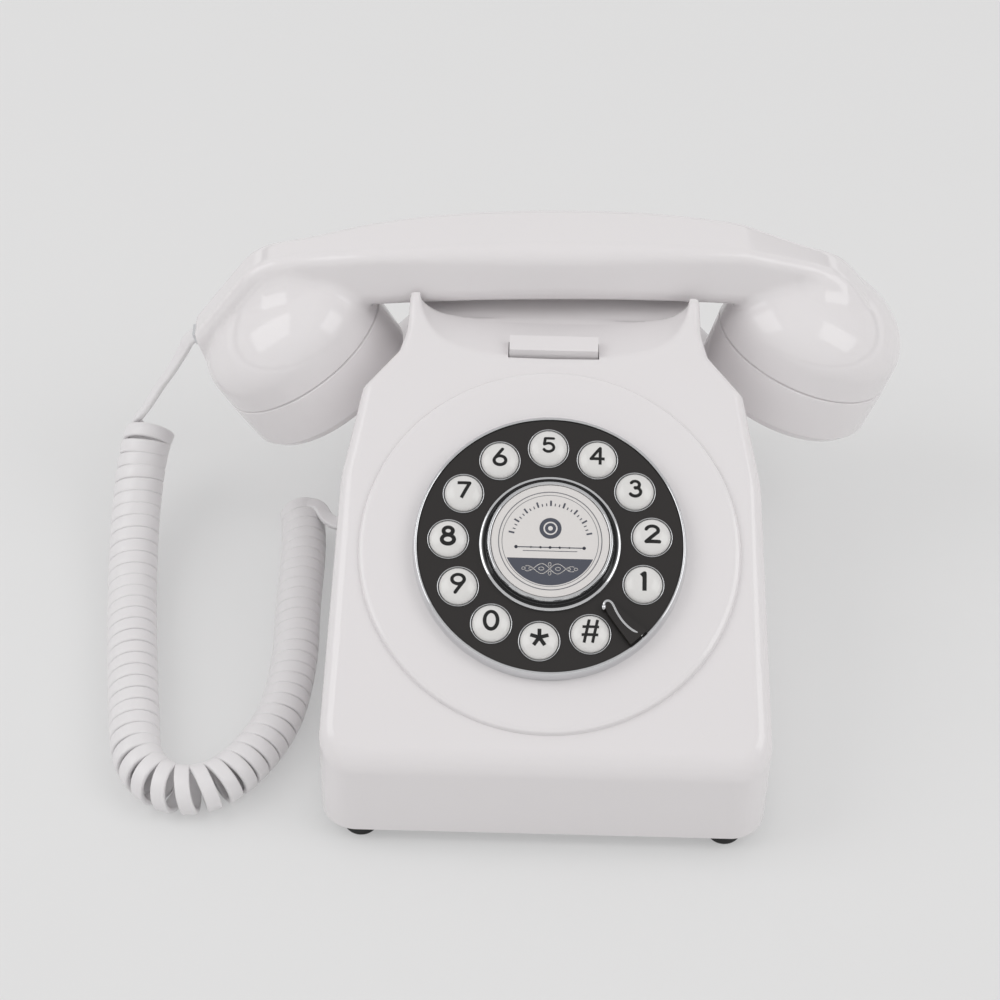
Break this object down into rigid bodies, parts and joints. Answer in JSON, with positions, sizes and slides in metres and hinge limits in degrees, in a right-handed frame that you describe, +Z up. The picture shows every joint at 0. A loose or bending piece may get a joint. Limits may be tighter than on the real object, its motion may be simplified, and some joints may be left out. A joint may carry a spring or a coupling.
{
  "type": "desk telephone",
  "caption": "Desk telephone with a sloping face, push buttons in a ring round a label, a lift-off handset in a horned cradle and a curly cord",
  "frame": {"origin": "on the table under the middle of the base, mid width and mid depth", "axes": "+X along the handset to the earpiece end, +Y to the rear, +Z up"},
  "size_m": [0.2661, 0.192, 0.1173],
  "materials": {
    "case_white": "smooth gloss",
    "base_grey": "fine matt",
    "foot_rubber": "matt",
    "screw_steel": "satin",
    "bright_trim": "polished",
    "dial_black": "satin",
    "label_cream": "printed card",
    "button_white": "smooth gloss",
    "mat_grey": "matt",
    "board_green": "satin",
    "part_black": "matt",
    "weight_iron": "rough",
    "jack_grey": "fine matt",
    "plug_clear": "smooth",
    "cord_white": "soft satin"
  },
  "bodies": {
    "base": {"housing": "case_white", "base_plate": "base_grey", "rubber_feet": "foot_rubber", "base_screws": "screw_steel", "dial_rim": "bright_trim", "dial_plate": "dial_black", "dial_screws": "screw_steel", "centre_ring": "bright_trim", "centre_label": "label_cream", "finger_stop": "dial_black", "button_bezels": "bright_trim", "keypad_mat": "mat_grey", "keypad_board": "board_green", "main_board": "board_green", "board_parts": "part_black", "base_weight": "weight_iron", "sounder": "part_black", "hook_pin": "screw_steel", "hook_spring": "screw_steel", "hook_switch": "part_black", "base_jack": "jack_grey", "line_jack": "jack_grey", "handset_lead": "cord_white", "curly_cord": "cord_white", "base_lead": "cord_white", "base_plug": "plug_clear"},
    "handset": {"handset_shell": "case_white", "handset_cover": "case_white", "handset_weight": "weight_iron", "handset_screws": "screw_steel", "mouthpiece_cap": "case_white", "earpiece_cap": "case_white", "microphone": "part_black", "receiver": "part_black", "handset_jack": "case_white", "handset_plug": "plug_clear"},
    "hook": {"hook_lever": "case_white"},
    "button_1": {"button_1": "button_white"},
    "button_2": {"button_2": "button_white"},
    "button_3": {"button_3": "button_white"},
    "button_4": {"button_4": "button_white"},
    "button_5": {"button_5": "button_white"},
    "button_6": {"button_6": "button_white"},
    "button_7": {"button_7": "button_white"},
    "button_8": {"button_8": "button_white"},
    "button_9": {"button_9": "button_white"},
    "button_0": {"button_0": "button_white"},
    "button_star": {"button_star": "button_white"},
    "button_hash": {"button_hash": "button_white"}
  },
  "joints": [
    {"name": "handset_lift", "type": "slide", "parent": "base", "child": "handset", "axis": [0, 0, 1], "range_m": [0, 0.08]},
    {"name": "hook_pivot", "type": "hinge", "parent": "base", "child": "hook", "pos_m": [0, 0.04399, 0.08747], "axis": [1, 0, 0], "range_deg": [0, 5]},
    {"name": "press_button_1", "type": "slide", "parent": "base", "child": "button_1", "axis": [0, 0.4067, -0.9135], "range_m": [0, 0.0015], "stiffness_N_per_m": 400, "springref_m": -0.0005},
    {"name": "press_button_2", "type": "slide", "parent": "base", "child": "button_2", "axis": [0, 0.4067, -0.9135], "range_m": [0, 0.0015], "stiffness_N_per_m": 400, "springref_m": -0.0005},
    {"name": "press_button_3", "type": "slide", "parent": "base", "child": "button_3", "axis": [0, 0.4067, -0.9135], "range_m": [0, 0.0015], "stiffness_N_per_m": 400, "springref_m": -0.0005},
    {"name": "press_button_4", "type": "slide", "parent": "base", "child": "button_4", "axis": [0, 0.4067, -0.9135], "range_m": [0, 0.0015], "stiffness_N_per_m": 400, "springref_m": -0.0005},
    {"name": "press_button_5", "type": "slide", "parent": "base", "child": "button_5", "axis": [0, 0.4067, -0.9135], "range_m": [0, 0.0015], "stiffness_N_per_m": 400, "springref_m": -0.0005},
    {"name": "press_button_6", "type": "slide", "parent": "base", "child": "button_6", "axis": [0, 0.4067, -0.9135], "range_m": [0, 0.0015], "stiffness_N_per_m": 400, "springref_m": -0.0005},
    {"name": "press_button_7", "type": "slide", "parent": "base", "child": "button_7", "axis": [0, 0.4067, -0.9135], "range_m": [0, 0.0015], "stiffness_N_per_m": 400, "springref_m": -0.0005},
    {"name": "press_button_8", "type": "slide", "parent": "base", "child": "button_8", "axis": [0, 0.4067, -0.9135], "range_m": [0, 0.0015], "stiffness_N_per_m": 400, "springref_m": -0.0005},
    {"name": "press_button_9", "type": "slide", "parent": "base", "child": "button_9", "axis": [0, 0.4067, -0.9135], "range_m": [0, 0.0015], "stiffness_N_per_m": 400, "springref_m": -0.0005},
    {"name": "press_button_0", "type": "slide", "parent": "base", "child": "button_0", "axis": [0, 0.4067, -0.9135], "range_m": [0, 0.0015], "stiffness_N_per_m": 400, "springref_m": -0.0005},
    {"name": "press_button_star", "type": "slide", "parent": "base", "child": "button_star", "axis": [0, 0.4067, -0.9135], "range_m": [0, 0.0015], "stiffness_N_per_m": 400, "springref_m": -0.0005},
    {"name": "press_button_hash", "type": "slide", "parent": "base", "child": "button_hash", "axis": [0, 0.4067, -0.9135], "range_m": [0, 0.0015], "stiffness_N_per_m": 400, "springref_m": -0.0005}
  ],
  "couplings": [
    {"joint": "hook_pivot", "follows": "handset_lift", "rad_per_m": 1.0908}
  ]
}
